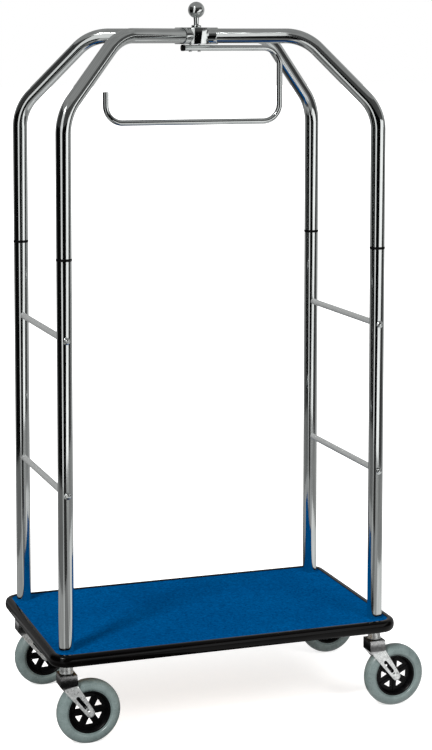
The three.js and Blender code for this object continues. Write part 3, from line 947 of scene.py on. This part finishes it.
def wheel_rim(corner):
    """A deep dish on both sides, a boss round the axle and a middle web with six windows."""
    node = "wheel_rim_" + corner
    low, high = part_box(node)
    centre = middle(node)
    place = Matrix.Translation(centre) @ TO_FRONT
    bm = bmesh.new()
    dish = [(0.0445, -WEB_HALF), (0.0462, -WEB_HALF - 0.003), (0.0492, -RIM_HALF + 0.0008)]
    dish += [(0.0500, -RIM_HALF), (RIM_RADIUS - 0.001, -RIM_HALF), (RIM_RADIUS, -RIM_HALF + 0.001)]
    revolve(bm, both_sides(dish), 96, place)
    bore = AXLE_RADIUS + GAP
    boss_half = (high.y - low.y) / 2
    boss = [(bore, -boss_half), (0.0098, -boss_half), (0.0108, -boss_half + 0.001)]
    boss += [(0.0125, -WEB_HALF - 0.002), (0.0145, -WEB_HALF)]
    revolve(bm, both_sides(boss), 64, place)
    holes = [circle(0, 0, bore)]
    pitch = 360 / WINDOWS
    root, tip, side = 0.0135, 0.0455, 0.0009
    rib = [(root, -side), (tip, -side), (tip, side), (root, side)]
    rib_half = WEB_HALF + 0.0025
    for i in range(WINDOWS):
        bearing = pitch * i + WHEEL_TURN[corner]
        window_at = Matrix.Rotation(math.radians(bearing), 2) @ Vector((WINDOW_DISTANCE, 0))
        window = arc(*window_at, WINDOW_REACH, bearing + 180, bearing + 420, steps=2)
        holes.append(rounded_outline(window, 0.0012))
        between = Matrix.Rotation(math.radians(bearing + pitch / 2), 4, "Z")
        prism(bm, rib, [], -rib_half, rib_half, place @ between, edge=0.0003)
    prism(bm, circle(0, 0, WEB_RADIUS, 96), holes, -WEB_HALF, WEB_HALF, place, edge=0.0005)
    return stand_for(new_object("dished_" + node, bm, 30), node)


def wheel_tyre(corner):
    """Solid rubber with a nearly flat tread, round shoulders and a bead line beside the rim."""
    node = "wheel_tyre_" + corner
    low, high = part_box(node)
    centre = middle(node)
    radius = (high.x - low.x) / 2
    half = (high.y - low.y) / 2
    bore = RIM_RADIUS + GAP
    bead = bore + 0.0022
    bead_half = 0.0155
    belly = 0.061  # radius where the tyre is widest
    tread_half = 0.0025
    side = [(bore, -0.0146), (bore + 0.0004, -0.0158), (bead - 0.0006, -0.0164), (bead, -0.0158)]
    for step in range(1, 7):
        angle = math.radians(90 - 15 * step)
        across = bead_half + (half - bead_half) * math.cos(angle)
        side.append((belly - (belly - bead) * math.sin(angle), -across))
    for step in range(1, 19):
        angle = math.radians(5 * step)
        across = tread_half + (half - tread_half) * math.cos(angle)
        side.append((belly + (radius - belly) * math.sin(angle), -across))
    bm = bmesh.new()
    revolve(bm, both_sides(side), 128, Matrix.Translation(centre) @ TO_FRONT)
    return stand_for(new_object("moulded_" + node, bm, 40), node)


# ---- Pieces kept from the CAD ----


def finish_kept_parts():
    """CAD parts with nothing to add to their shape get their finish and a softened edge."""
    kept = ["deck_board", "cross_channel_left", "cross_channel_right"]
    kept += ["post_insert_" + corner for corner in CORNERS]
    for node in kept:
        part = frame["nodes"][node]
        part.data.materials.clear()
        part.data.materials.append(FINISHES[slot_of[node]])
        softened = part.modifiers.new("soft edges", "BEVEL")
        softened.width = 0.0006
        softened.segments = 2
        softened.limit_method = "ANGLE"


# ---- Stage ----


def only_in_reflections(made):
    made.visible_camera = False
    made.visible_diffuse = False
    made.visible_transmission = False
    made.visible_shadow = False
    return made


def only_in_view(made):
    made.visible_diffuse = False
    made.visible_glossy = False
    made.visible_transmission = False
    made.visible_shadow = False
    return made


def light_alone(name):
    """A material that is nothing but a light, with its emission node."""
    n = Nodes(name)
    n.tree.nodes.remove(n.shader)
    n.material.cycles.emission_sampling = "NONE"
    return n, n.add("ShaderNodeEmission")


def glow(name, brightness):
    """A soft light that varies a little from place to place, as cloth does."""
    n, light = light_alone(name)
    folds = n.ramp(n.noise(2.2, detail=5), [(0.3, 0.8 * brightness), (0.7, 1.2 * brightness)])
    n.link(folds, light.inputs["Color"])
    n.link(light.outputs["Emission"], n.surface)
    return n.material


def reflected_studio():
    """The studio as polished metal sees it: soft boxes and dark cloth all round the cart.

    Each sector starts at two bearings, low and high, in degrees from the camera's own. Its glows are
    those of four rings of floor, from under the deck outwards, and of the wall, lower and upper."""
    # In every sector the first floor ring, under the deck, glows at 0.02: painted shadow of the deck, seen
    # only in reflections.
    sectors = [
        (-180, -180, 0.02, 0.03, 0.08, 0.18, 0.27, 0.27),
        (-125, -125, 0.02, 0.15, 0.38, 0.28, 0.20, 0.20),
        (-106, -108, 0.02, 0.12, 0.34, 0.15, 0.003, 0.04),
        (-37, -40, 0.02, 0.15, 0.50, 0.45, 0.85, 0.85),
        (-25, -13, 0.02, 0.03, 0.20, 0.03, 0.002, 0.06),
        (10, 48, 0.02, 0.60, 0.36, 0.35, 1.15, 0.08),
        (45, 92, 0.02, 0.75, 0.70, 0.25, 0.05, 0.42),
        (100, 112, 0.02, 0.60, 0.60, 0.35, 0.42, 0.42),
        (140, 140, 0.02, 0.30, 0.35, 0.35, 0.42, 0.42),
    ]
    step_degrees = 4
    ceiling = 0.27
    wall_middle = 2.0
    rims = [(0.0, 0.0), (0.38, 0.0), (1.0, 0.0), (1.8, 0.0), (3.2, 0.0), (3.2, 2.0), (3.2, 3.8)]
    camera_bearing = -18.6
    lift = 0.0015  # just over the floor and the veil
    bm = bmesh.new()
    levels = []
    for index, (start_low, start_high, *glows) in enumerate(sectors):
        end_low, end_high = (180, 180) if index + 1 == len(sectors) else sectors[index + 1][:2]
        count = max(2, round((end_low - start_low) / step_degrees))
        for inner, outer, level in zip(rims, rims[1:], glows):
            if level not in levels:
                levels.append(level)
            for k in range(count):
                quad = []
                for radius, height, share in ((*inner, k), (*outer, k), (*outer, k + 1), (*inner, k + 1)):
                    raised = min(height / wall_middle, 1.0)
                    start = start_low + (start_high - start_low) * raised
                    end = end_low + (end_high - end_low) * raised
                    bearing = math.radians(camera_bearing + start + (end - start) * share / count)
                    at = (radius * math.sin(bearing), -radius * math.cos(bearing), height + lift)
                    if at not in quad:
                        quad.append(at)
                face = bm.faces.new([bm.verts.new(at) for at in quad])
                face.material_index = levels.index(level)
    radius, height = rims[-1]
    face = bm.faces.new([bm.verts.new((x, y, height + lift)) for x, y in circle(0, 0, radius, 48)])
    face.material_index = len(levels)
    levels.append(ceiling)
    studio = new_object("reflected_studio", bm)
    for index, level in enumerate(levels):
        studio.data.materials.append(glow(f"studio_{index}", level))
    only_in_reflections(studio)


def square(name, half, height):
    """A flat square that faces up."""
    mesh = bpy.data.meshes.new(name)
    corners = [(-half, -half), (half, -half), (half, half), (-half, half)]
    mesh.from_pydata([(x, y, height) for x, y in corners], [], [(0, 1, 2, 3)])
    made = bpy.data.objects.new(name, mesh)
    bpy.context.scene.collection.objects.link(made)
    return made


def floor():
    """A pale matt floor that doesn't hide the cart from below."""
    n = Nodes("pale_floor")
    n.colour(n.ramp(n.noise(3, detail=3), [(0.3, 0.66), (0.7, 0.70)]))
    n.set(Roughness=0.9, Specular_IOR_Level=0.1)
    see_through = n.add("ShaderNodeBsdfTransparent")
    sides = n.add("ShaderNodeMixShader")
    facing = n.add("ShaderNodeNewGeometry")
    n.link(facing.outputs["Backfacing"], sides.inputs["Fac"])
    n.link(n.shader.outputs["BSDF"], sides.inputs[1])
    n.link(see_through.outputs["BSDF"], sides.inputs[2])
    n.link(sides.outputs["Shader"], n.surface)
    ground = square("floor", half=60.0, height=0.0)
    ground.data.materials.append(n.material)
    ground.visible_glossy = False


def backdrop():
    """A white surrounding that only the camera sees."""
    bm = bmesh.new()
    bmesh.ops.create_icosphere(bm, subdivisions=3, radius=75.0)
    made = only_in_view(new_object("backdrop", bm))
    n, light = light_alone("backdrop")
    n.link(light.outputs["Emission"], n.surface)
    made.data.materials.append(n.material)


def veil():
    """A thin light over the floor that only the camera sees, and only from above."""
    made = only_in_view(square("veil", half=60.0, height=0.0008))
    n, light = light_alone("veil")
    facing = n.add("ShaderNodeNewGeometry")
    strength = n.add("ShaderNodeMapRange")
    strength.inputs["To Min"].default_value = 0.68
    strength.inputs["To Max"].default_value = 0.0
    n.link(facing.outputs["Backfacing"], strength.inputs["Value"])
    n.link(strength.outputs["Result"], light.inputs["Strength"])
    see_through = n.add("ShaderNodeBsdfTransparent")
    both = n.add("ShaderNodeAddShader")
    n.link(light.outputs["Emission"], both.inputs[0])
    n.link(see_through.outputs["BSDF"], both.inputs[1])
    n.link(both.outputs["Shader"], n.surface)
    made.data.materials.append(n.material)


def soft_sun(name, towards, spread, power, shines):
    """A distant light of a given angular width in degrees, shining in a direction.

    It leaves highlights on glossy pieces only if it shines."""
    light = bpy.data.lights.new(name, "SUN")
    light.angle = math.radians(spread)
    light.energy = power
    lamp = bpy.data.objects.new(name, light)
    lamp.rotation_mode = "QUATERNION"
    lamp.rotation_quaternion = Vector(towards).to_track_quat("-Z", "Y")
    lamp.visible_glossy = shines
    bpy.context.scene.collection.objects.link(lamp)


def lights():
    """A pale world, a key light from the left and a weaker fill from the front."""
    world = bpy.data.worlds.new("pale studio")
    world.use_nodes = True
    world.node_tree.nodes["Background"].inputs["Color"].default_value = (1, 1, 1, 1)
    world.node_tree.nodes["Background"].inputs["Strength"].default_value = 0.6
    bpy.context.scene.world = world
    soft_sun("key", (1.0, 0.84, -1.2), spread=11, power=3.3, shines=True)
    soft_sun("fill", (-0.3, 1.0, -0.9), spread=20, power=1.2, shines=False)
    bpy.context.scene.view_settings.view_transform = "Standard"


def camera():
    """Nearly level with the cart's top, at its left front, looking slightly down, the lens shifted down."""
    deck = middle("deck_carpet")
    deck_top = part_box("deck_carpet")[1].z
    data = bpy.data.cameras.new("camera")
    data.sensor_width = 36.0
    data.lens = 90.2534
    data.shift_y = -0.23333
    data.clip_start = 0.1
    data.clip_end = 200.0
    made = bpy.data.objects.new("camera", data)
    left, in_front, above = 1.54787, 4.60922, 1.50198
    yaw, pitch, roll = (math.radians(angle) for angle in (19.165, -4.931, 0.038))
    ahead = Vector((math.sin(yaw) * math.cos(pitch), math.cos(yaw) * math.cos(pitch), math.sin(pitch)))
    right = Vector((math.cos(yaw), -math.sin(yaw), 0))
    up = right.cross(ahead)
    rolled_right = right * math.cos(roll) + up * math.sin(roll)
    rolled_up = up * math.cos(roll) - right * math.sin(roll)
    place = Matrix.Translation((deck.x - left, deck.y - in_front, deck_top + above))
    made.matrix_world = place @ Matrix((rolled_right, rolled_up, -ahead)).transposed().to_4x4()
    bpy.context.scene.collection.objects.link(made)
    bpy.context.scene.camera = made


# ---- The cart ----

carpet()
bumper()
for corner in CORNERS:
    post_tube(corner)
    joint_ring(corner)
    arch(corner)
    caster_mount(corner)
    caster_fork(corner)
    caster_axle(corner)
    wheel_rim(corner)
    wheel_tyre(corner)
for level in ("upper", "lower"):
    for side in ("left", "right"):
        side_rail(level, side)
        for end in ("front", "back"):
            rail_bolt(level, end, side)
hub()
finial()
finial_collar()
garment_rail()
garment_cap()
for side in ("left", "right"):
    garment_screw(side)
finish_kept_parts()
floor()
backdrop()
veil()
reflected_studio()
lights()
camera()
